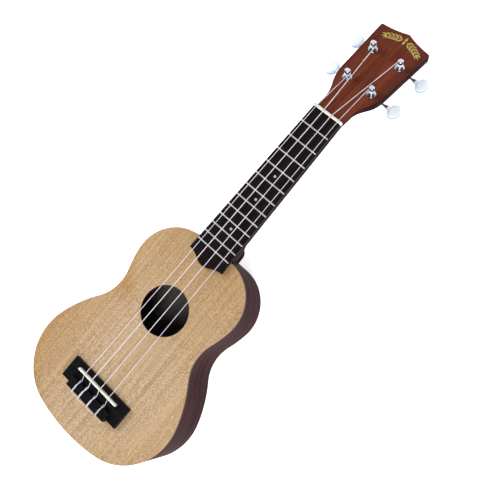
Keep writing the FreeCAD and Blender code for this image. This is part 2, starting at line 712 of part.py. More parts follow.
def make_frets():
    """T-shaped wires: a round crown over the board and a tang in the slot, cut to the board's taper."""
    body = new_body("frets", shelf_frame())
    sketch = new_sketch(body, "sections", "YZ_Plane")
    top = dim("board_thickness")
    half, thin = dim("fret_width") / 2, dim("fret_tang") / 2
    for number in range(1, int(dim("fret_count")) + 1):
        level = fret_level(number)
        foot = top - dim("fret_tang_depth")
        corners = [V(level - half, top, 0), V(level - thin, top, 0), V(level - thin, foot, 0),
                   V(level + thin, foot, 0), V(level + thin, top, 0), V(level + half, top, 0)]
        for start, stop in zip(corners, corners[1:]):
            sketch.addGeometry(Part.LineSegment(start, stop))
        sketch.addGeometry(Part.Arc(corners[-1], V(level, top + dim("fret_crown"), 0), corners[0]))
    add_pad(body, sketch, "3 * Dimensions.board_half_joint", symmetric=True)
    trim = new_sketch(body, "trim", "XY_Plane")
    low, high = 150, dim("nut_front")
    far = 2 * dim("board_half_joint")
    margin = 0.4
    for side in (-1, 1):
        add_polygon(trim, ((side * (board_half(low) - margin), low), (side * far, low), (side * far, high),
                           (side * (board_half(high) - margin), high)))
    add_pocket(body, trim, symmetric=True)


def make_nut():
    """White bar behind the fretboard's end, with a slot for each string that falls away to the headstock."""
    body = new_body("nut", shelf_frame())
    sketch = new_sketch(body, "section", "YZ_Plane")
    front, back = dim("nut_front"), dim("nut_front") + dim("nut_thickness")
    top = dim("nut_top")
    add_polygon(sketch, ((front, 0), (back, 0), (back, top - 1.6), (back - 1.4, top - 0.4),
                         (front + 1.2, top), (front, top - 0.3)))
    add_pad(body, sketch, "2 * Dimensions.nut_half", symmetric=True)
    for string in STRINGS:
        slot = new_sketch(body, "slot_" + string["name"], "YZ_Plane", raised(string["nut_x"]))
        floor = dim("nut_slot_level")
        add_polygon(slot, ((front - 1, floor), (front + 1.3, floor), (back + 1, floor - 0.85),
                           (back + 1, top + 1), (front - 1, top + 1)))
        add_pocket(body, slot, "Dimensions.string_%s + 0.2" % string["name"], symmetric=True)


# ---------------------------------------------------------------- bridge and saddle

def make_bridge():
    """Base with a raised saddle deck, and a tie block behind a trough, drilled for the strings."""
    body = new_body("bridge", shelf_frame())
    half = dim("bridge_half")
    plan = new_sketch(body, "base", "XY_Plane")
    add_rectangle(plan, (-half, dim("bridge_rear")), (half, dim("bridge_front")))
    base = add_pad(body, plan, "Dimensions.bridge_base")
    doc.recompute()
    upper = edges_where(base.Shape, lambda box: box.ZMin > dim("bridge_base") - 1e-6)
    add_round(body, base, upper, "Dimensions.bridge_edge_round")
    doc.recompute()
    left, right = dim("tie_block_left"), dim("tie_block_right")
    rear, front = dim("tie_block_rear"), dim("tie_block_front")
    deck = new_sketch(body, "deck", "XY_Plane")
    add_rectangle(deck, (left, dim("deck_rear")), (right + 1, dim("deck_front")))
    add_pad(body, deck, "Dimensions.bridge_deck")
    block = new_sketch(body, "tie_block", "XY_Plane")
    add_rectangle(block, (left, rear), (right, front))
    block_pad = add_pad(body, block, "Dimensions.tie_block_top")
    doc.recompute()
    crest = edges_where(block_pad.Shape, lambda box: box.ZMin > dim("tie_block_top") - 1e-6)
    add_round(body, block_pad, crest, "Dimensions.tie_block_round")
    trough = new_sketch(body, "trough", "XY_Plane", raised(dim("bridge_trough")))
    add_rectangle(trough, (left + 1, front), (right - 1, dim("deck_rear")))
    add_pocket(body, trough, reverse=True)
    seat = new_sketch(body, "seat", "XY_Plane", raised(dim("saddle_seat")))
    thick = dim("saddle_thickness") / 2
    add_rectangle(seat, (-dim("saddle_half"), dim("saddle_centre") - thick),
                  (dim("saddle_half"), dim("saddle_centre") + thick))
    add_pocket(body, seat, reverse=True)
    holes = new_sketch(body, "tie_holes", "XZ_Plane", cross_plane(-12))
    for string in STRINGS:
        add_circle(holes, string["saddle_x"], dim("tie_hole_level"), "Dimensions.tie_hole_radius")
    add_pocket(body, holes, "20", reverse=True)


def make_saddle():
    """White bar with a round top, standing in the bridge's seat."""
    body = new_body("saddle", shelf_frame())
    sketch = new_sketch(body, "section", "YZ_Plane")
    centre, radius = dim("saddle_centre"), dim("saddle_thickness") / 2
    shoulder = dim("saddle_top") - radius
    seat = dim("saddle_seat")
    rear, front = centre - radius, centre + radius
    sketch.addGeometry(Part.LineSegment(V(rear, shoulder, 0), V(rear, seat, 0)))
    sketch.addGeometry(Part.LineSegment(V(rear, seat, 0), V(front, seat, 0)))
    sketch.addGeometry(Part.LineSegment(V(front, seat, 0), V(front, shoulder, 0)))
    sketch.addGeometry(Part.Arc(V(front, shoulder, 0), V(centre, shoulder + radius, 0), V(rear, shoulder, 0)))
    add_pad(body, sketch, "2 * Dimensions.saddle_half", symmetric=True)


# ---------------------------------------------------------------- tuners

# name, place across at the saddle and at the nut, side and row of the post
STRINGS = (
    {"name": "g", "saddle_x": -17.6, "nut_x": -13.7, "side": -1, "row": "low"},
    {"name": "c", "saddle_x": -7.8, "nut_x": -4.6, "side": -1, "row": "high"},
    {"name": "e", "saddle_x": 4.8, "nut_x": 4.9, "side": 1, "row": "high"},
    {"name": "a", "saddle_x": 17.4, "nut_x": 13.8, "side": 1, "row": "low"},
)
# base plate screws, along the headstock from the post
SCREW_OFFSETS = (-7.8, 12)


def post_place(string):
    """Head frame x and y of the post that winds a string."""
    return string["side"] * dim("post_%s_x" % string["row"]), dim("post_%s_s" % string["row"])


def post_places():
    return [post_place(string) for string in STRINGS]


def worm_offset():
    """Distance from a post's axis to its worm's axis, towards the headstock's tip."""
    return dim("wheel_radius") + dim("worm_radius")


def collar_level():
    """Distance from a worm's middle to the face of its button's collar."""
    return dim("button_reach") - dim("button_width") / 2 - 1.5


def wheel_level():
    """z of the wheel's mid plane and the worm's axis, behind the headstock."""
    return -dim("head_thickness") - dim("tuner_plate") - dim("wheel_gap") - dim("wheel_thickness") / 2


def make_ferrule(name, place):
    """Press-in bushing: sleeve in the headstock, flange on its face and a raised collar round the post."""
    body = new_body("ferrule_" + name, place)
    bore = dim("post_radius") + dim("running_gap")
    sleeve, flange, rim = dim("ferrule_sleeve"), dim("ferrule_flange"), dim("ferrule_rim")
    top, low = dim("ferrule_top"), -dim("ferrule_depth")
    chamfer = 0.3
    add_turned(body, ((bore, low), (sleeve, low), (sleeve, 0), (flange, 0), (flange, rim - chamfer),
                      (flange - chamfer, rim), (sleeve, rim), (sleeve, top - chamfer),
                      (sleeve - chamfer, top), (bore, top)))


def make_post(name, place):
    """Steel post: seat for the wheel, bearing, waist for the string and cap."""
    body = new_body("post_" + name, place)
    bearing, waist, seat = dim("post_radius"), dim("post_waist"), dim("post_seat")
    low = wheel_level() - dim("wheel_thickness") / 2
    high = wheel_level() + dim("wheel_thickness") / 2
    top, cap = dim("post_top"), dim("post_cap_base")
    base = dim("post_waist_base")
    tap = 3
    bevel = 0.7
    bore = dim("screw_shank")
    add_turned(body, ((0, low + tap), (bore, low + tap), (bore, low), (seat, low), (seat, high),
                      (bearing, high), (bearing, base - bevel), (waist, base), (waist, cap),
                      (bearing, cap + bevel), (bearing, top - bevel), (bearing - bevel, top), (0, top)))


def make_wheel(name, place):
    """Brass wheel with trapezoid teeth; a gap faces the worm."""
    body = new_body("wheel_" + name, place)
    sketch = new_sketch(body, "teeth", "XY_Plane", raised(wheel_level()))
    count = int(dim("wheel_teeth"))
    root, tip = dim("wheel_root"), dim("wheel_tip")
    root_half, tip_half = math.radians(8.6), math.radians(2.7)
    points = []
    for number in range(count):
        middle = math.pi / 2 + (number + 0.5) * 2 * math.pi / count
        for radius, angle in ((root, -root_half), (tip, -tip_half), (tip, tip_half), (root, root_half)):
            points.append((radius * math.cos(middle + angle), radius * math.sin(middle + angle)))
    add_polygon(sketch, points)
    add_circle(sketch, 0, 0, "Dimensions.post_seat")
    add_pad(body, sketch, "Dimensions.wheel_thickness", symmetric=True)


def make_wheel_screw(name, place):
    """Slotted screw that holds the wheel on its post."""
    body = new_body("wheel_screw_" + name, place)
    low = wheel_level() - dim("wheel_thickness") / 2
    head, shank = dim("screw_head") + 0.6, dim("screw_shank")
    thick = 1.3
    bevel = 0.4
    add_turned(body, ((0, low - thick), (head - bevel, low - thick), (head, low - thick + bevel), (head, low),
                      (shank, low), (shank, low + 3), (0, low + 3)))
    slot = new_sketch(body, "slot", "XY_Plane", raised(low - thick))
    add_rectangle(slot, (-head, -0.35), (head, 0.35))
    add_pocket(body, slot, "0.6", reverse=True)


def make_tuner_plate(name, place):
    """Base plate behind the headstock, with two ears that carry the worm's shaft."""
    body = new_body("tuner_plate_" + name, place)
    back = -dim("head_thickness")
    sketch = new_sketch(body, "plan", "XY_Plane", raised(back))
    half = dim("ear_inside") + dim("ear_thickness")
    low, high = SCREW_OFFSETS[0] - 2.8, SCREW_OFFSETS[1] + 2.8
    bevel = 2
    add_polygon(sketch, ((-half + bevel, low), (half - bevel, low), (half, low + bevel),
                         (half, high - bevel), (half - bevel, high), (-half + bevel, high),
                         (-half, high - bevel), (-half, low + bevel)))
    add_circle(sketch, 0, 0, "Dimensions.post_radius + Dimensions.running_gap")
    for offset in SCREW_OFFSETS:
        add_circle(sketch, 0, offset, "Dimensions.screw_shank")
    add_pad(body, sketch, "Dimensions.tuner_plate", reverse=True)
    ear, axis, centre = dim("ear_half"), wheel_level(), worm_offset()
    top = back - dim("tuner_plate")
    for side, hand in ((-1, "low"), (1, "high")):
        middle = side * (dim("ear_inside") + dim("ear_thickness") / 2)
        wall = new_sketch(body, "ear_" + hand, "YZ_Plane", raised(middle))
        rear, front = centre - ear, centre + ear
        corners = [V(rear, axis, 0), V(rear, top, 0), V(front, top, 0), V(front, axis, 0)]
        for start, end in zip(corners, corners[1:]):
            wall.addGeometry(Part.LineSegment(start, end))
        wall.addGeometry(Part.Arc(corners[-1], V(centre, axis - ear, 0), corners[0]))
        add_circle(wall, centre, axis, "Dimensions.shaft_radius + Dimensions.running_gap")
        add_pad(body, wall, "Dimensions.ear_thickness", symmetric=True)


def worm_place():
    """Placement of a worm's axis in its post's frame."""
    return FreeCAD.Placement(V(0, worm_offset(), wheel_level()), FreeCAD.Rotation())


def make_worm(name, place, side):
    """Steel shaft through both ears: right-handed worm between them, and a flared end for the button."""
    body = new_body("worm_" + name, place * worm_place())
    shaft, core, flare = dim("shaft_radius"), dim("worm_core"), dim("button_collar")
    inside = dim("ear_inside") - 0.1
    outside = dim("ear_inside") + dim("ear_thickness") + 0.6
    collar = collar_level()
    end = collar + 5
    points = ((-outside, 0), (-outside, shaft), (-inside, shaft), (-inside, core),
              (inside, core), (inside, shaft), (collar - 5.5, shaft),
              (collar - 2.5, flare - 0.6), (collar, flare), (collar, shaft),
              (end, shaft), (end, 0))
    add_turned(body, [(side * x, r) for x, r in points], axis="H_Axis", role="XY_Plane")
    doc.recompute()
    lead = 2 * math.pi * dim("wheel_radius") / dim("wheel_teeth")
    thread = new_sketch(body, "thread", "XY_Plane")
    first = -lead * dim("worm_turns") / 2
    root_half, tip_half = 0.42, 0.2
    foot = core - 0.15
    add_polygon(thread, ((first - root_half, -foot), (first - tip_half, -dim("worm_tip")),
                         (first + tip_half, -dim("worm_tip")), (first + root_half, -foot)))
    helix = body.newObject("PartDesign::AdditiveHelix", body.Name + "_helix")
    helix.Profile = thread
    helix.ReferenceAxis = (thread, ["H_Axis"])
    helix.Mode = "pitch-turns-angle"
    helix.Pitch = lead
    helix.setExpression("Turns", "Dimensions.worm_turns")
    helix.LeftHanded = False


def make_button(name, place, side):
    """Oval button with a collar, pushed on the shaft's end."""
    body = new_body("button_" + name, place * worm_place())
    sketch = new_sketch(body, "oval", "XY_Plane")
    reach = side * dim("button_reach")
    end, flank = V(reach, dim("button_length") / 2, 0), V(reach + dim("button_width") / 2, 0, 0)
    sketch.addGeometry(Part.Ellipse(end, flank, V(reach, 0, 0)))
    oval = add_pad(body, sketch, "Dimensions.button_thickness", symmetric=True)
    doc.recompute()
    names = edges_where(oval.Shape, lambda box: box.ZLength < 1e-6)
    add_round(body, oval, names, "Dimensions.button_round")
    doc.recompute()
    collar = collar_level()
    boss = new_sketch(body, "boss", "YZ_Plane", raised(side * collar))
    add_circle(boss, 0, 0, "Dimensions.button_collar")
    add_pad(body, boss, "4", reverse=side < 0)
    socket = new_sketch(body, "socket", "YZ_Plane", raised(side * collar))
    add_circle(socket, 0, 0, "Dimensions.shaft_radius")
    add_pocket(body, socket, "5", reverse=side > 0)


def make_plate_screws():
    """Eight round-headed screws that hold the base plates: identical fasteners in one node."""
    head, shank = dim("screw_head"), dim("screw_shank")
    face = -dim("head_thickness") - dim("tuner_plate")
    tall, rim, crown = 1.2, 0.4, 0.55 * head
    profile = ((0, face - tall), (crown, face - tall), (head, face - rim), (head, face), (shank, face),
               (shank, face + dim("screw_length")), (0, face + dim("screw_length")))
    corners = [V(x, 0, z) for x, z in profile]
    outline = Part.makePolygon(corners + corners[:1])
    solids = []
    for x, s in post_places():
        for offset in SCREW_OFFSETS:
            screw = Part.Face(outline).revolve(V(), V(0, 0, 1), 360)
            slot = Part.makeBox(2 * head, 0.6, 0.5, V(-head, -0.3, face - tall))
            screw = screw.cut(slot)
            screw.translate(V(x, s + offset, 0))
            solids.append(screw)
    node = doc.addObject("Part::Feature", "plate_screws")
    node.Label = "plate_screws"
    node.Shape = Part.makeCompound(solids)
    node.Placement = shelf_frame() * head_frame()


# ---------------------------------------------------------------- strings

def tube(points, radii, diameter, last_edges=()):
    """Round string along straight runs joined by tangent arcs, one radius per inner point."""
    edges = []
    start = points[0]
    for before, corner, after, radius in zip(points, points[1:], points[2:], radii):
        incoming = (corner - before).normalize()
        outgoing = (after - corner).normalize()
        turn = incoming.getAngle(outgoing)
        setback = radius * math.tan(turn / 2)
        first = corner - incoming * setback
        second = corner + outgoing * setback
        inward = (outgoing - incoming).normalize()
        middle = corner + inward * (radius / math.cos(turn / 2) - radius)
        edges.append(Part.LineSegment(start, first).toShape())
        edges.append(Part.Arc(first, middle, second).toShape())
        start = second
    edges.append(Part.LineSegment(start, points[-1]).toShape())
    edges.extend(last_edges)
    path = Part.Wire(edges)
    normal = (points[1] - points[0]).normalize()
    profile = Part.Wire(Part.Circle(points[0], normal, diameter / 2).toShape())
    return path.makePipeShell([profile], True, True), path.Length


def make_string(string):
    """A string from its tie at the bridge, over saddle and nut, to its first turn round the post."""
    diameter = dim("string_" + string["name"])
    radius = diameter / 2
    x_saddle, x_nut = string["saddle_x"], string["nut_x"]
    tie_top = dim("tie_block_top") + radius
    behind = dim("tie_block_rear") - radius - 0.9
    hole = dim("tie_hole_level")
    crest_radius = dim("saddle_thickness") / 2 + radius
    crest = V(x_saddle, dim("saddle_centre"), dim("saddle_top") - dim("saddle_thickness") / 2)
    mouth = V(x_saddle, dim("tie_block_front") + 1, hole)
    nut = V(x_nut, dim("nut_front") + 1.3, dim("nut_slot_level") + radius + 0.02)
    forward = (nut - crest).normalize()
    down = (mouth - crest).normalize()
    bisector = (forward + down).normalize() * -1
    half_turn = (math.pi - forward.getAngle(down)) / 2
    saddle = crest + bisector * (crest_radius + 0.02) * (1 / math.cos(half_turn))

    head = head_frame()
    post_x, post_s = post_place(string)
    wrap = dim("post_waist") + 0.1 + radius
    level = dim("string_turn_level")
    start = head.inverse() * nut
    flat = V(post_x - start.x, post_s - start.y, 0)
    lean = math.asin(wrap / flat.Length) * -string["side"]
    aim = FreeCAD.Rotation(V(0, 0, 1), -math.degrees(lean)) * flat
    aim = aim.normalize() * math.sqrt(flat.Length ** 2 - wrap ** 2)
    touch = V(start.x + aim.x, start.y + aim.y, level)
    inward = V(post_x - touch.x, post_s - touch.y, 0).normalize()
    along = (touch - start).normalize()
    centre = touch + inward * wrap

    def on_turn(degrees):
        angle = math.radians(degrees)
        return head * (centre - inward * wrap * math.cos(angle) + along * wrap * math.sin(angle))

    turn = Part.Arc(on_turn(0), on_turn(150), on_turn(300)).toShape()
    points = [V(x_saddle, dim("tie_block_front") - 0.2, tie_top), V(x_saddle, behind, tie_top),
              V(x_saddle, behind, hole), mouth, saddle, nut, head * touch]
    solid, length = tube(points, (1.5, 1.2, 2, crest_radius, 3), diameter, [turn])
    node = doc.addObject("Part::Feature", "string_" + string["name"])
    node.Label = "string_" + string["name"]
    node.Shape = solid
    node.Placement = shelf_frame()
    expected = math.pi * radius ** 2 * length
    print("string", string["name"], "length %.1f" % length, "volume ratio %.4f" % (solid.Volume / expected))


def make_winding(string, place):
    """Turns of the same string that are wound on the post, below the first, each a closed ring."""
    diameter = dim("string_" + string["name"])
    pitch = diameter + 0.04
    radius = dim("post_waist") + diameter / 2 + 0.02
    top = dim("string_turn_level") - diameter - 0.15
    low = dim("post_waist_base") + diameter / 2 + 0.1
    count = int((top - low) / pitch) + 1
    rings = [Part.makeTorus(radius, diameter / 2, V(0, 0, top - number * pitch)) for number in range(count)]
    node = doc.addObject("Part::Feature", "winding_" + string["name"])
    node.Label = "winding_" + string["name"]
    node.Shape = Part.makeCompound(rings)
    node.Placement = place


# ---------------------------------------------------------------- build, check and write

def make_everything():
    make_top_plate()
    make_back_plate()
    make_sides()
    make_linings()
    make_blocks()
    make_braces()
    make_bridge_plate()
    make_neck()
    make_heel_cap()
    make_fretboard()
    make_dots()
    make_frets()
    make_nut()
    make_bridge()
    make_saddle()
    for string in STRINGS:
        name = string["name"]
        side = string["side"]
        place = tuner_frame(*post_place(string))
        make_ferrule(name, place)
        make_post(name, place)
        make_wheel(name, place)
        make_wheel_screw(name, place)
        make_tuner_plate(name, place)
        make_worm(name, place, side)
        make_button(name, place, side)
        make_string(string)
        make_winding(string, place)
    make_plate_screws()


def write_parts():
    """Check every object, then write each sub-part to its own file."""
    doc.recompute()
    for item in doc.Objects:
        if "Invalid" in item.State or "Error" in item.State:
            raise ValueError("%s did not compute" % item.Name)
    parts = [item for item in doc.Objects if item.TypeId in ("PartDesign::Body", "Part::Feature")
             and item.getParentGeoFeatureGroup() is None]
    os.makedirs("parts", exist_ok=True)
    for item in parts:
        if item.Shape.isNull() or not item.Shape.isValid():
            raise ValueError("%s has no valid shape" % item.Label)
        print("%-20s solids %2d volume %10.2f" % (item.Label, len(item.Shape.Solids), item.Shape.Volume))
        item.Shape.exportStep(os.path.join("parts", item.Label + ".step"))
    print(len(parts), "parts")


make_everything()
write_parts()
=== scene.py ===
"""Soprano ukulele: finishes, string knots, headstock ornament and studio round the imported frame.

Everything is in metres, in the row frame: the flat back lies on z = 0, +y runs to the headstock
and +x to the treble side. No CAD solid is moved or reshaped here.
"""

import json
import math

import bmesh
import bpy
from mathutils import Euler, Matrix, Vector


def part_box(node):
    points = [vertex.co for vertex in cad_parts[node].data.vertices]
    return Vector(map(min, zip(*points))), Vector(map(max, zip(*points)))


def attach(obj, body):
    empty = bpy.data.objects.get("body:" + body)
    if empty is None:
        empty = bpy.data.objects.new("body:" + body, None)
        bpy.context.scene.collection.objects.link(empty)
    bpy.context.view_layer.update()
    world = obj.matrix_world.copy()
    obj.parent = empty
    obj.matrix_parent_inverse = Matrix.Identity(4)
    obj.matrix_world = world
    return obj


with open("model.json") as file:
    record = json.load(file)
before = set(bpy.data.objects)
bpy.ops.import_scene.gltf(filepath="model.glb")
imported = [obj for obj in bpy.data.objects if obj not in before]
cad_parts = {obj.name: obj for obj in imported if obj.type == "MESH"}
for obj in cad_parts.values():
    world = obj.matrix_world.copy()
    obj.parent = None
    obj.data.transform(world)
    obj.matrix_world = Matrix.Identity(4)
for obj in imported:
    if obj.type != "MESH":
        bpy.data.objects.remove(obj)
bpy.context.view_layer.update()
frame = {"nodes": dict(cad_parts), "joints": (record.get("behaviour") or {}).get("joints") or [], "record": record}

MM = 0.001
STRINGS = ("g", "c", "e", "a")
UP = (0.0, 0.0, 1.0)
PURE_WHITE = (1.0, 1.0, 1.0, 1.0)
# colour of the painted glow on the pearl buttons and dots
PEARL_LIGHT = (0.80, 0.90, 1.0, 1.0)
NYLON_DEPTH = (0.4 * MM, 0.4 * MM, 0.5 * MM)  # scattering of red, green and blue

# centre in y and radius of the soundboard's two bouts, and the height of its face
BOUTS = ((0.012, 0.090), (0.136, 0.066))
SOUNDBOARD_LEVEL = 0.0634

# string knots on the tie block: two places ahead of the strings' rear ends, and how far aside of
# itself each string comes back
KNOT_FRONT = 13.2 * MM
KNOT_REAR = 2.2 * MM
KNOT_ASIDE = 0.8 * MM
TAIL_THINNING = 0.8

# leaf spray on the headstock: an arch round a point on the line of the high posts
ARCH_RADIUS = 36.0 * MM
ARCH_ALONG = -8.8 * MM
ARCH_ACROSS = 1.6 * MM
# degrees from the arch's middle, and length in mm, of each pair of side leaves
LEAF_PAIRS = ((5.0, 7.6), (11.5, 7.6), (18.0, 7.2), (24.5, 6.6), (31.0, 5.8))
LEAF_WIDTH = 2.9 * MM
LEAF_LEAN = 4.0  # degrees
LEAF_FAN = 0.55  # radians each way
END_LEAF = (31.0, 42.0)  # degrees, root and tip
END_LEAF_WIDTH = 2.6 * MM
STEM_STARTS = (4.0, 13.0, 22.0)  # degrees
STEM_REACH = 10.0  # degrees
STEM_WIDTH = 1.2 * MM
CROWN_LEAVES = (5.2, -4.6)  # mm along the headstock
CROWN_WIDTH = 4.4 * MM
LEAF_STEPS = 10
LEAF_TIP = 0.02 * MM  # half a leaf's width at its ends
# a leaf's section: share of its half width, and height over the headstock's face
LEAF_SECTION = (
    (-1.0, -0.02 * MM), (-0.62, 0.10 * MM), (0.0, 0.16 * MM), (0.62, 0.10 * MM), (1.0, -0.02 * MM),
)
GOLD, RIM = 0, 1  # the ornament's two materials

FLOOR_HALF = 2.5
FLOOR_LEVEL = -0.2 * MM
FLOOR_GLOW = 0.80
# the studio room: brightness near the horizon and overhead, and between which heights it changes
ROOM_LOW, ROOM_HIGH = 0.9, 0.10
ROOM_FROM, ROOM_TO = 0.02, 0.55
BODY_MIDDLE = (0.0, 0.2, 0.0)
HEAD_MIDDLE = (0.0, 0.44, 0.05)
# name, place, aim, side in metres, power in watts
SOFTBOXES = (
    ("key_light", (-1.4, 0.2, 1.1), BODY_MIDDLE, 1.0, 24.0),
    ("fill_light", (1.2, -0.7, 1.0), BODY_MIDDLE, 1.0, 16.0),
    ("top_light", (0.5, -0.3, 1.5), BODY_MIDDLE, 0.6, 7.0),
    ("head_light", (-0.42, 1.35, 0.90), HEAD_MIDDLE, 0.4, 0.75),
)

CAMERA_PLACE = (0.243466, 0.257288, 0.731027)
CAMERA_TURN = (8.6325, 16.6261, 41.4221)  # degrees about x, y and z
CAMERA_LENS = 52.32
CAMERA_SENSOR = 36.0


# ---------------------------------------------------------------- materials

class Look:
    """One procedural material: its node tree, its shader, and calls for the nodes used here."""

    def __init__(self, name, roughness=0.5, **sockets):
        self.material = bpy.data.materials.new(name)
        self.material.use_nodes = True
        self.tree = self.material.node_tree
        self.shader = self.tree.nodes["Principled BSDF"]
        self.shader.inputs["Roughness"].default_value = roughness
        for socket, value in sockets.items():
            self.shader.inputs[socket.replace("_", " ")].default_value = value
        self.place = self.add("ShaderNodeTexCoord").outputs["Object"]
        self.normal = self.add("ShaderNodeTexCoord").outputs["Normal"]

    def add(self, kind, inputs=(), **settings):
        """A new node; inputs are (socket, value or output) pairs."""
        node = self.tree.nodes.new(kind)
        for key, value in settings.items():
            setattr(node, key, value)
        for socket, value in inputs:
            self.feed(node.inputs[socket], value)
        return node

    def feed(self, socket, value):
        """Links an output to a socket, or sets the socket to a plain value."""
        if isinstance(value, bpy.types.NodeSocket):
            self.tree.links.new(value, socket)
        else:
            socket.default_value = value

    def stretched(self, x, y, z):
        """The object's own coordinates, times these numbers per metre."""
        inputs = [(0, self.place), (1, (x, y, z))]
        return self.add("ShaderNodeVectorMath", inputs, operation="MULTIPLY").outputs[0]

    def component(self, vector, axis):
        """A vector's X, Y or Z."""
        return self.add("ShaderNodeSeparateXYZ", [(0, vector)]).outputs[axis]

    def noise(self, vector, detail=3.0, roughness=0.55, distortion=0.0):
        """Noise from 0 to 1 at those coordinates."""
        inputs = [("Vector", vector), ("Scale", 1.0), ("Detail", detail)]
        inputs += [("Roughness", roughness), ("Distortion", distortion)]
        return self.add("ShaderNodeTexNoise", inputs).outputs["Fac"]

    def band(self, value, low, high, to_low=0.0, to_high=1.0):
        """A value from low to high, mapped to to_low to to_high and clamped."""
        inputs = [("Value", value), ("From Min", low), ("From Max", high)]
        inputs += [("To Min", to_low), ("To Max", to_high)]
        return self.add("ShaderNodeMapRange", inputs).outputs["Result"]

    def compute(self, operation, first, second=0.0):
        """What a Math node makes of one or two values."""
        inputs = [(0, first), (1, second)]
        return self.add("ShaderNodeMath", inputs, operation=operation).outputs[0]

    def blend(self, factor, first, second):
        """A colour between two colours."""
        node = self.add("ShaderNodeMix", data_type="RGBA")
        self.feed(node.inputs[0], factor)
        self.feed(node.inputs[6], colour(first) if isinstance(first, tuple) else first)
        self.feed(node.inputs[7], colour(second) if isinstance(second, tuple) else second)
        return node.outputs[2]

    def tilt(self, axis):
        """How far the surface faces along an axis: 1 along it either way, 0 across it."""
        inputs = [(0, self.normal), (1, axis)]
        turned = self.add("ShaderNodeVectorMath", inputs, operation="DOT_PRODUCT")
        return self.compute("ABSOLUTE", turned.outputs["Value"])

    def paint(self, value):
        """The material's colour."""
        self.feed(self.shader.inputs["Base Color"], value)

    def roughen(self, value, low, high):
        """Roughness that follows a value from 0 to 1."""
        self.feed(self.shader.inputs["Roughness"], self.band(value, 0.0, 1.0, low, high))

    def emboss(self, height, depth, strength=1.0):
        """A bump of that depth in metres where the height is 1."""
        inputs = [("Height", height), ("Distance", depth), ("Strength", strength)]
        bump = self.add("ShaderNodeBump", inputs)
        self.feed(self.shader.inputs["Normal"], bump.outputs["Normal"])


def colour(srgb):
    """A linear colour with alpha from three sRGB numbers from 0 to 1."""
    linear = [c / 12.92 if c <= 0.04045 else ((c + 0.055) / 1.055) ** 2.4 for c in srgb]
    return (*linear, 1.0)


def top_wood():
    """Pale straight-grained softwood under clear lacquer.

    Fine flecks along the grain, a warmer shade towards the rim, a gold line where the edge turns
    down, and the cut edge itself stained like the sides.
    """
    look = Look("top_spruce", Coat_Weight=0.25, Coat_Roughness=0.25)
    flecks = look.noise(look.stretched(1250.0, 560.0, 560.0), 3.0, 0.65)
    rings = look.noise(look.stretched(560.0, 6.0, 6.0), 2.0, 0.5)
    clouds = look.noise(look.stretched(24.0, 11.0, 11.0), 2.0)
    fine = look.compute("MULTIPLY", flecks, 0.75)
    coarse = look.compute("MULTIPLY", rings, 0.25)
    grain = look.compute("ADD", fine, coarse)
    wood = look.blend(look.band(grain, 0.40, 0.61), (0.62, 0.50, 0.355), (0.86, 0.745, 0.605))
    wood = look.blend(look.band(clouds, 0.35, 0.65, 0.0, 0.30), wood, (0.77, 0.65, 0.48))
    warm = look.blend(look.band(grain, 0.39, 0.62), (0.565, 0.41, 0.23), (0.79, 0.63, 0.40))
    wood = look.blend(look.compute("MAXIMUM", rim_closeness(look), yellowing(look)), wood, warm)
    facing = look.tilt(UP)
    wood = look.blend(look.band(facing, 0.985, 0.90), wood, (0.80, 0.55, 0.25))
    wood = look.blend(look.band(facing, 0.62, 0.50), wood, (0.25, 0.16, 0.13))
    look.paint(wood)
    look.roughen(grain, 0.50, 0.36)
    look.emboss(grain, 0.05 * MM, 0.6)
    return look.material


def rim_closeness(look):
    """0 inside the two bouts, rising at the soundboard's rim, and more so on the bass side."""
    shares = []
    for centre, radius in BOUTS:
        inputs = [(0, look.place), (1, (0.0, centre, SOUNDBOARD_LEVEL))]
        away = look.add("ShaderNodeVectorMath", inputs, operation="DISTANCE")
        shares.append(look.compute("DIVIDE", away.outputs["Value"], radius))
    near_rim = look.band(look.compute("MINIMUM", *shares), 0.76, 1.02)
    bass_side = look.band(look.component(look.place, "X"), 0.06, -0.05, 0.35, 1.0)
    return look.compute("MULTIPLY", near_rim, bass_side)


def yellowing(look):
    """0 in the middle of the lower bout, rising towards the neck end and the bass side."""
    neck_end = look.band(look.component(look.place, "Y"), 0.06, 0.15, 0.0, 0.60)
    bass_side = look.band(look.component(look.place, "X"), -0.030, -0.086, 0.0, 0.80)
    return look.compute("MAXIMUM", neck_end, bass_side)


def body_wood():
    """Dark brown stained sides and back, with a long faint figure and pores; bare wood inside."""
    look = Look("body_dark_stain", Specular_IOR_Level=0.003)
    flat = look.tilt(UP)
    on_sides = look.noise(look.stretched(10.0, 10.0, 260.0), 5.0, 0.6, 0.4)
    on_back = look.noise(look.stretched(240.0, 9.0, 9.0), 5.0, 0.6, 0.4)
    figure = look.add("ShaderNodeMix", data_type="FLOAT")
    look.feed(figure.inputs[0], look.band(flat, 0.5, 0.8))
    look.feed(figure.inputs[2], on_sides)
    look.feed(figure.inputs[3], on_back)
    grain = figure.outputs[0]
    wood = look.blend(look.band(grain, 0.34, 0.66), (0.175, 0.11, 0.12), (0.30, 0.20, 0.215))
    pores = look.noise(look.stretched(900.0, 900.0, 2600.0), 2.0)
    wood = look.blend(look.band(pores, 0.60, 0.72, 0.0, 0.45), wood, (0.07, 0.05, 0.05))
    bare = look.blend(look.band(grain, 0.3, 0.7), (0.40, 0.37, 0.35), (0.54, 0.50, 0.48))
    inside = look.band(look.component(look.normal, "Z"), 0.5, 0.8)
    look.paint(look.blend(inside, wood, bare))
    look.roughen(grain, 0.34, 0.48)
    look.emboss(pores, 0.03 * MM, 0.5)
    return look.material


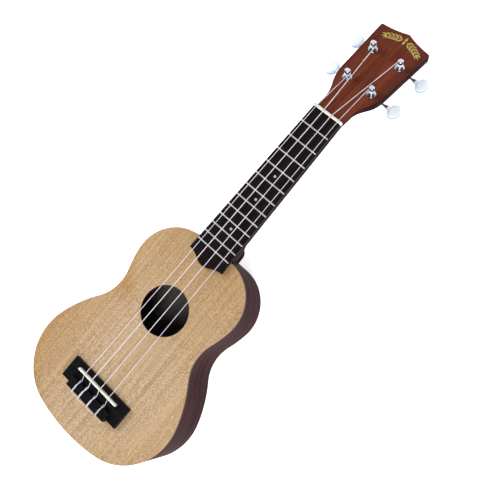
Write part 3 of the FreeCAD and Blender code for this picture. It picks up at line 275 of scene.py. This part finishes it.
def neck_wood():
    """Red-brown stained headstock face, darker to its sides; near-black on all the rest, partly a dark stained
    finish and partly painted shade where the surface turns from the face.
    """
    look = Look("neck_mahogany", Specular_IOR_Level=0.008)
    grain = look.noise(look.stretched(330.0, 11.0, 40.0), 5.0, 0.62, 0.6)
    pores = look.noise(look.stretched(2200.0, 110.0, 600.0), 2.0)
    clouds = look.noise(look.stretched(30.0, 14.0, 30.0), 2.0)
    wood = look.blend(look.band(grain, 0.32, 0.68), (0.36, 0.16, 0.105), (0.54, 0.285, 0.20))
    wood = look.blend(look.band(clouds, 0.35, 0.68, 0.0, 0.4), wood, (0.40, 0.22, 0.17))
    aside = look.compute("ABSOLUTE", look.component(look.place, "X"))
    wood = look.blend(look.band(aside, 0.014, 0.031, 0.0, 0.60), wood, (0.33, 0.17, 0.165))
    wood = look.blend(look.band(pores, 0.58, 0.70, 0.0, 0.55), wood, (0.22, 0.10, 0.08))
    # near-black for all but the headstock's face: partly a dark stained finish, partly painted shade where the
    # surface turns away from the face
    stain_and_shade = look.blend(look.band(grain, 0.32, 0.68), (0.10, 0.055, 0.06), (0.19, 0.115, 0.12))
    face = look.band(look.tilt(head_axis()), 0.93, 0.985)
    look.paint(look.blend(face, stain_and_shade, wood))
    look.roughen(pores, 0.34, 0.50)
    look.emboss(pores, 0.03 * MM, 0.5)
    return look.material


def inner_wood():
    """Unlacquered inside wood, dark in the shade of the body, with a rough cross-brushed grain."""
    look = Look("inside_wood", roughness=0.85)
    grain = look.noise(look.stretched(260.0, 18.0, 60.0), 4.0)
    look.paint(look.blend(look.band(grain, 0.3, 0.7), (0.36, 0.31, 0.27), (0.52, 0.45, 0.39)))
    look.emboss(grain, 0.05 * MM, 0.5)
    return look.material


def fretboard_wood():
    """Black-brown oiled fretboard: fine lengthwise pores and a slight sheen."""
    look = Look("fretboard_dark", Specular_IOR_Level=0.05)
    grain = look.noise(look.stretched(620.0, 16.0, 60.0), 5.0, 0.6, 0.3)
    pores = look.noise(look.stretched(3000.0, 160.0, 800.0), 2.0)
    wood = look.blend(look.band(grain, 0.34, 0.66), (0.06, 0.04, 0.04), (0.14, 0.10, 0.10))
    wood = look.blend(look.band(pores, 0.58, 0.70, 0.0, 0.6), wood, (0.07, 0.05, 0.05))
    look.paint(wood)
    look.roughen(pores, 0.42, 0.60)
    look.emboss(pores, 0.04 * MM, 0.5)
    return look.material


def bridge_wood():
    """Near-black stained bridge with a satin face and faint crosswise grain."""
    look = Look("bridge_black", Specular_IOR_Level=0.08)
    grain = look.noise(look.stretched(20.0, 700.0, 300.0), 4.0, 0.6, 0.3)
    look.paint(look.blend(look.band(grain, 0.34, 0.68), (0.04, 0.035, 0.04), (0.10, 0.09, 0.10)))
    look.roughen(grain, 0.50, 0.38)
    look.emboss(grain, 0.04 * MM, 0.5)
    return look.material


def pearl(name, low, high, rim, coat, scale, glow):
    """Pearl: two soft shades folded through each other under a clear gloss.

    It has a faint painted glow, and a darker painted shade round the edge where its sides turn away from the
    headstock's face.
    """
    # the emission is a painted glow: the pearl is no lamp
    look = Look(name, Coat_Weight=coat, Coat_Roughness=0.06, Emission_Color=PEARL_LIGHT,
                Emission_Strength=glow)
    folds = look.noise(look.stretched(scale, scale, scale), 2.0, 0.4, 1.2)
    face = look.blend(look.band(folds, 0.30, 0.70), low, high)
    # the rim colour is painted shade on the sides that turn away from the headstock's face
    look.paint(look.blend(look.band(look.tilt(head_axis()), 0.80, 0.30), face, rim))
    look.roughen(folds, 0.16, 0.30)
    return look.material


def white_bone():
    """Satin white nut and saddle, slightly warm, with faint cloudy patches and polish marks."""
    look = Look("nut_white", Coat_Weight=0.2, Coat_Roughness=0.3)
    clouds = look.noise(look.stretched(240.0, 240.0, 240.0), 4.0)
    marks = look.noise(look.stretched(90.0, 2600.0, 900.0), 2.0)
    look.paint(look.blend(look.band(clouds, 0.34, 0.68), (0.93, 0.94, 0.87), (0.985, 0.985, 0.95)))
    look.roughen(marks, 0.34, 0.46)
    look.emboss(marks, 0.01 * MM, 0.4)
    return look.material


def string_nylon():
    """Milky nylon with a cool tint and a soft lengthwise sheen."""
    look = Look("string_nylon", IOR=1.53, Subsurface_Weight=0.15, Subsurface_Radius=NYLON_DEPTH)
    drawn = look.noise(look.stretched(900.0, 60.0, 900.0), 2.0)
    look.paint(look.blend(look.band(drawn, 0.3, 0.7), (0.86, 0.85, 0.92), (0.96, 0.95, 0.99)))
    look.roughen(drawn, 0.26, 0.38)
    return look.material


def metal(name, low, high, roughness, brushing, depth):
    """Metal between two tints, with roughness and fine marks that follow a stretched noise."""
    look = Look(name, Metallic=1.0)
    marks = look.noise(look.stretched(*brushing), 4.0, 0.6)
    look.paint(look.blend(look.band(marks, 0.32, 0.68), low, high))
    look.roughen(look.band(marks, 0.3, 0.7), *roughness)
    look.emboss(marks, depth * MM, 0.4)
    return look.material


def make_finishes():
    """The finish for each of the record's material slots."""
    # each pearl's third tint is the painted shade round its edge, and its last number is its painted glow
    dot_tints = (0.62, 0.65, 0.68), (0.80, 0.82, 0.85), (0.62, 0.65, 0.68)
    button_tints = (0.82, 0.88, 0.96), (0.94, 0.97, 0.99), (0.42, 0.50, 0.64)
    finishes = {
        "top_wood": top_wood(),
        "body_wood": body_wood(),
        "neck_wood": neck_wood(),
        "inner_wood": inner_wood(),
        "fretboard_wood": fretboard_wood(),
        "bridge_wood": bridge_wood(),
        "dot_inlay": pearl("dot_pearl", *dot_tints, 0.3, 900.0, 0.05),
        "white_nut": white_bone(),
        "string_nylon": string_nylon(),
        "button_pearl": pearl("button_pearl", *button_tints, 0.6, 110.0, 0.34),
    }
    # slot, name, two tints, smooth and rough, brushing per metre, depth of its marks in mm
    metals = (
        ("fret_metal", "fret_nickel", (0.88, 0.88, 0.91), (0.97, 0.97, 0.99),
         (0.42, 0.55), (60.0, 2400.0, 900.0), 0.006),
        ("post_chrome", "post_chrome", (0.60, 0.61, 0.65), (0.78, 0.79, 0.83),
         (0.05, 0.12), (700.0, 700.0, 700.0), 0.004),
        ("tuner_metal", "tuner_nickel", (0.66, 0.66, 0.68), (0.80, 0.80, 0.81),
         (0.22, 0.40), (300.0, 2600.0, 900.0), 0.008),
        ("wheel_brass", "wheel_brass", (0.72, 0.56, 0.30), (0.86, 0.70, 0.42),
         (0.24, 0.42), (1200.0, 1200.0, 400.0), 0.01),
    )
    for slot, name, low, high, roughness, brushing, depth in metals:
        finishes[slot] = metal(name, low, high, roughness, brushing, depth)
    return finishes


def finish_nodes(finishes):
    """Gives every CAD node the finish of its slot."""
    slots = {row["node"]: row["material_slot"] for row in frame["record"]["subparts"]}
    for name, node in frame["nodes"].items():
        for place in node.material_slots:
            place.material = finishes[slots[name]]


# ---------------------------------------------------------------- pieces

def make_tube(name, points, radius, material):
    """A round cord of that radius, smooth through its control points, riding on the instrument."""
    curve = bpy.data.curves.new(name, "CURVE")
    curve.dimensions = "3D"
    curve.resolution_u = 10
    curve.bevel_depth = radius
    curve.bevel_resolution = 3
    curve.use_fill_caps = True
    spline = curve.splines.new("NURBS")
    spline.points.add(len(points) - 1)
    for point, (x, y, z) in zip(spline.points, points):
        point.co = (x, y, z, 1.0)
    spline.order_u = 3
    spline.use_endpoint_u = True
    curve.materials.append(material)
    tube = bpy.data.objects.new(name, curve)
    bpy.context.scene.collection.objects.link(tube)
    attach(tube, "instrument")


def string_places():
    """For each string, its place in x and its radius, from its solid's rear end."""
    places = {}
    for name in STRINGS:
        vertices = frame["nodes"]["string_" + name].data.vertices
        rear = min(v.co.y for v in vertices)
        here = [v.co.x for v in vertices if v.co.y < rear + 2.0 * MM]
        places[name] = ((min(here) + max(here)) / 2, (max(here) - min(here)) / 2)
    return places


def make_knots(nylon):
    """The loop each string makes round itself on the tie block, and the tail tucked behind it."""
    string_low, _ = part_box("string_g")
    _, bridge_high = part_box("bridge")
    rear = string_low.y
    front = rear + KNOT_FRONT
    for name, (x, radius) in string_places().items():
        over = bridge_high.z + radius
        left = x - KNOT_ASIDE
        loop = [
            (x, front - 3.0 * MM, over),
            (x - 0.1 * MM, front - 0.6 * MM, over + 0.1 * MM),
            (x - 0.6 * MM, front + 1.2 * MM, over - 1.4 * MM),
            (x + 0.1 * MM, front + 1.9 * MM, over - 3.3 * MM),
            (x + 0.9 * MM, front + 1.4 * MM, over - 1.6 * MM),
            (x + 0.9 * MM, front - 0.4 * MM, over + 0.5 * MM),
            (x + 0.2 * MM, front - 2.6 * MM, over + 1.9 * radius),
            (left, front - 4.6 * MM, over + 0.3 * MM),
            (left, front - 7.0 * MM, over),
            (left, rear + KNOT_REAR, over),
        ]
        make_tube("knot_" + name, loop, radius, nylon)
        tail = [
            (left, rear + KNOT_REAR, over),
            (x - 0.7 * MM, rear + 0.2 * MM, over + 0.05 * MM),
            (x + 0.6 * MM, rear - radius, over - 0.7 * MM),
            (x + 3.2 * MM, rear - 0.2 * MM, over - 0.7 * MM),
            (x + 6.6 * MM, rear + 0.1 * MM, over - 0.6 * MM),
            (x + 9.6 * MM, rear + 0.2 * MM, over - 0.5 * MM),
        ]
        make_tube("tail_" + name, tail, TAIL_THINNING * radius, nylon)


def high_post_joint():
    """The joint of one of the two posts nearest the headstock's peak."""
    return next(joint for joint in frame["joints"] if joint["name"] == "post_turn_c")


def head_axis():
    """The direction the headstock's face looks in, which the posts turn about."""
    return tuple(high_post_joint()["axis"])


def head_point(x, along, height):
    """A point over the headstock's face; along is measured from the high posts to the peak."""
    _, start_y, start_z = high_post_joint()["pos_m"]
    up = Vector(head_axis())
    towards_peak = Vector((0.0, up.z, -up.y))
    return Vector((x, start_y, start_z)) + towards_peak * along + up * height


def add_leaf(mesh, root, tip, width, bow=0.0):
    """A thin domed leaf between two points of the face: its rim dark, its middle gold."""
    span = tip - root
    across = Vector((-span.y, span.x)).normalized()
    rows = []
    for step in range(LEAF_STEPS + 1):
        share = step / LEAF_STEPS
        half = width / 2 * math.sin(math.pi * share ** 0.8) + LEAF_TIP
        centre = root + span * share + across * bow * math.sin(math.pi * share)
        row = []
        for side, height in LEAF_SECTION:
            spot = centre + across * side * half
            row.append(mesh.verts.new(head_point(spot.x, spot.y, height)))
        rows.append(row)
    last = len(LEAF_SECTION) - 1
    for low, high in zip(rows, rows[1:]):
        for column in range(last):
            face = mesh.faces.new((low[column], low[column + 1], high[column + 1], high[column]))
            face.material_index = RIM if column in (0, last - 1) else GOLD
        mesh.faces.new((low[0], high[0], high[last], low[last])).material_index = RIM
    for row in (rows[0], rows[-1]):
        mesh.faces.new(row).material_index = RIM


def on_arch(side, degrees):
    """The point of the leaf spray's arch at that angle from its middle, on one side."""
    angle = math.radians(degrees)
    x = ARCH_ACROSS + side * ARCH_RADIUS * math.sin(angle)
    return Vector((x, ARCH_ALONG + ARCH_RADIUS * math.cos(angle)))


def spray_mesh():
    """All the leaves and stems of the spray, as one mesh."""
    mesh = bmesh.new()
    for side in (-1.0, 1.0):
        for degrees, length in LEAF_PAIRS:
            root = on_arch(side, degrees)
            for fan in (-LEAF_FAN, LEAF_FAN):
                heading = math.radians(degrees + LEAF_LEAN) + fan
                reach = Vector((side * math.cos(heading), -math.sin(heading))) * length * MM
                add_leaf(mesh, root, root + reach, LEAF_WIDTH, -side * fan * MM)
        root, tip = (on_arch(side, degrees) for degrees in END_LEAF)
        add_leaf(mesh, root, tip, END_LEAF_WIDTH)
        for degrees in STEM_STARTS:
            root, tip = (on_arch(side, end) for end in (degrees, degrees + STEM_REACH))
            add_leaf(mesh, root, tip, STEM_WIDTH)
    crown = on_arch(1.0, 0.0)
    for reach in CROWN_LEAVES:
        add_leaf(mesh, crown, crown + Vector((0.0, reach * MM)), CROWN_WIDTH)
    bmesh.ops.recalc_face_normals(mesh, faces=mesh.faces)
    data = bpy.data.meshes.new("head_ornament")
    mesh.to_mesh(data)
    mesh.free()
    for face in data.polygons:
        face.use_smooth = True
    return data


def make_ornament():
    """A plain gold leaf spray inlaid across the headstock, above the high posts."""
    data = spray_mesh()
    data.materials.append(ornament_gold())
    data.materials.append(ornament_rim())
    ornament = bpy.data.objects.new("head_ornament", data)
    bpy.context.scene.collection.objects.link(ornament)
    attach(ornament, "instrument")


def ornament_gold():
    """Bright gold with faint marks."""
    low, high = (0.78, 0.62, 0.28), (0.97, 0.88, 0.55)
    return metal("ornament_gold", low, high, (0.25, 0.40), (500.0, 500.0, 500.0), 0.01)


def ornament_rim():
    """Dark olive shade round each leaf."""
    look = Look("ornament_rim", roughness=0.45, Metallic=0.3)
    patches = look.noise(look.stretched(900.0, 900.0, 900.0), 3.0)
    look.paint(look.blend(look.band(patches, 0.3, 0.7), (0.24, 0.19, 0.10), (0.45, 0.38, 0.20)))
    return look.material


# ---------------------------------------------------------------- stage

def make_floor():
    """A plain pale floor just under the flat back."""
    data = bpy.data.meshes.new("floor")
    ends = (-FLOOR_HALF, FLOOR_HALF)
    corners = [(x, y, FLOOR_LEVEL) for x in ends for y in ends]
    data.from_pydata(corners, [], [(0, 2, 3, 1)])
    floor = bpy.data.objects.new("floor", data)
    bpy.context.scene.collection.objects.link(floor)
    glow = {"Emission_Color": PURE_WHITE, "Emission_Strength": FLOOR_GLOW}
    look = Look("floor_white", roughness=0.9, **glow)
    speckle = look.noise(look.stretched(40.0, 40.0, 40.0), 2.0)
    look.paint(look.blend(speckle, (0.975, 0.975, 0.975), (0.985, 0.985, 0.985)))
    data.materials.append(look.material)


def make_softbox(name, place, aim, size, power):
    """A square area light at a place, facing a point."""
    lamp = bpy.data.lights.new(name, "AREA")
    lamp.shape = "SQUARE"
    lamp.size = size
    lamp.energy = power
    light = bpy.data.objects.new(name, lamp)
    light.location = place
    light.rotation_euler = (Vector(aim) - Vector(place)).to_track_quat("-Z", "Y").to_euler()
    bpy.context.scene.collection.objects.link(light)


def make_lights():
    """Plain soft studio light: a room pale low down and dim overhead, and four softboxes."""
    world = bpy.data.worlds.new("studio")
    bpy.context.scene.world = world
    world.use_nodes = True
    nodes, links = world.node_tree.nodes, world.node_tree.links
    direction = nodes.new("ShaderNodeTexCoord").outputs["Generated"]
    split = nodes.new("ShaderNodeSeparateXYZ")
    links.new(direction, split.inputs[0])
    strength = nodes.new("ShaderNodeMapRange")
    strength.inputs["From Min"].default_value = ROOM_FROM
    strength.inputs["From Max"].default_value = ROOM_TO
    strength.inputs["To Min"].default_value = ROOM_LOW
    strength.inputs["To Max"].default_value = ROOM_HIGH
    links.new(split.outputs["Z"], strength.inputs["Value"])
    background = nodes["Background"]
    background.inputs["Color"].default_value = PURE_WHITE
    links.new(strength.outputs["Result"], background.inputs["Strength"])
    for softbox in SOFTBOXES:
        make_softbox(*softbox)


def make_camera():
    """The camera at the photograph's viewing angle, with no shift and no depth of field."""
    data = bpy.data.cameras.new("camera")
    data.sensor_width = CAMERA_SENSOR
    data.lens = CAMERA_LENS
    data.clip_start = 0.01
    camera = bpy.data.objects.new("camera", data)
    camera.location = CAMERA_PLACE
    camera.rotation_euler = Euler([math.radians(angle) for angle in CAMERA_TURN])
    bpy.context.scene.collection.objects.link(camera)
    bpy.context.scene.camera = camera


def main():
    make_camera()
    finishes = make_finishes()
    finish_nodes(finishes)
    make_knots(finishes["string_nylon"])
    make_ornament()
    make_floor()
    make_lights()
    bpy.context.scene.view_settings.view_transform = "Standard"


main()
